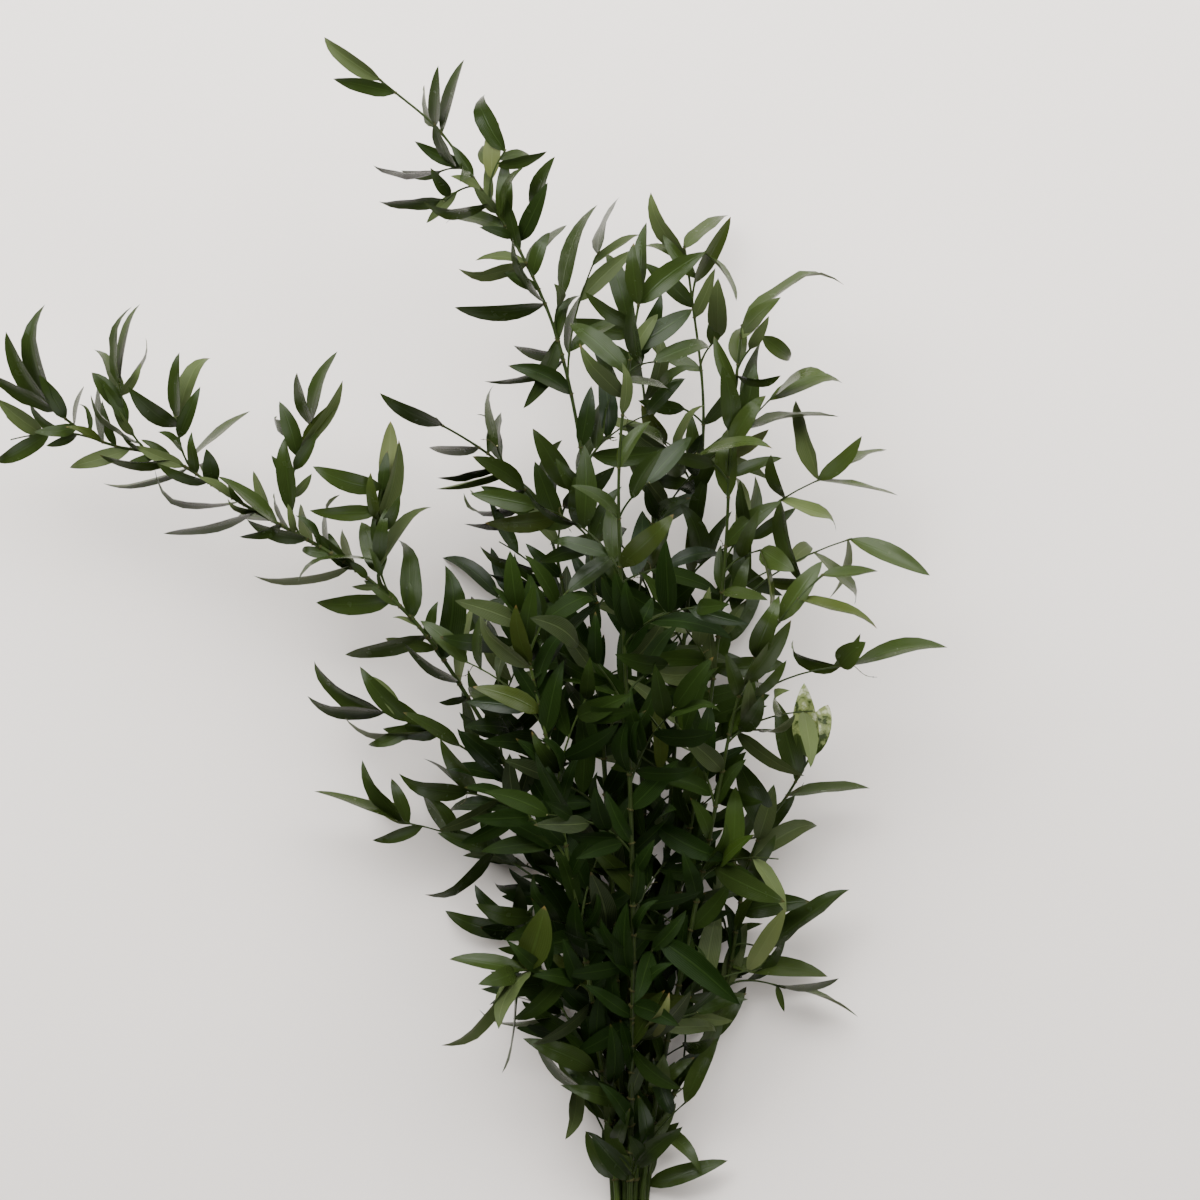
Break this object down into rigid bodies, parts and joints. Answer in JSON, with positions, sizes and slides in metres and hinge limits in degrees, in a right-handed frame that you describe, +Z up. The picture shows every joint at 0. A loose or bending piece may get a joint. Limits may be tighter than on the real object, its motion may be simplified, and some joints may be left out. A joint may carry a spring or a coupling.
{
  "type": "ruscus bunch",
  "caption": "Loose bunch of cut ruscus stems with glossy lance-shaped leaves, gathered at the cut ends and lying flat; two stems arch out to the left and upper left.",
  "frame": {"origin": "on the flat underside of the middle bottom stem, in the straight grip where the stems are gathered, on the table plane", "axes": "+Z up from the table, +Y from the cut ends towards the tips, +X to the right seen from above"},
  "size_m": [0.6675, 0.9368, 0.21],
  "materials": {
    "ruscus": "glossy green leaves on satin green stems"
  },
  "bodies": {
    "root": {"stem_left_arch": "ruscus", "stem_top_left": "ruscus", "stem_left_front": "ruscus", "stem_left_back": "ruscus", "stem_centre_front": "ruscus", "stem_back_right": "ruscus", "stem_right_top": "ruscus", "stem_right_mid": "ruscus", "stem_right_low": "ruscus", "stem_centre_back": "ruscus"}
  },
  "joints": []
}
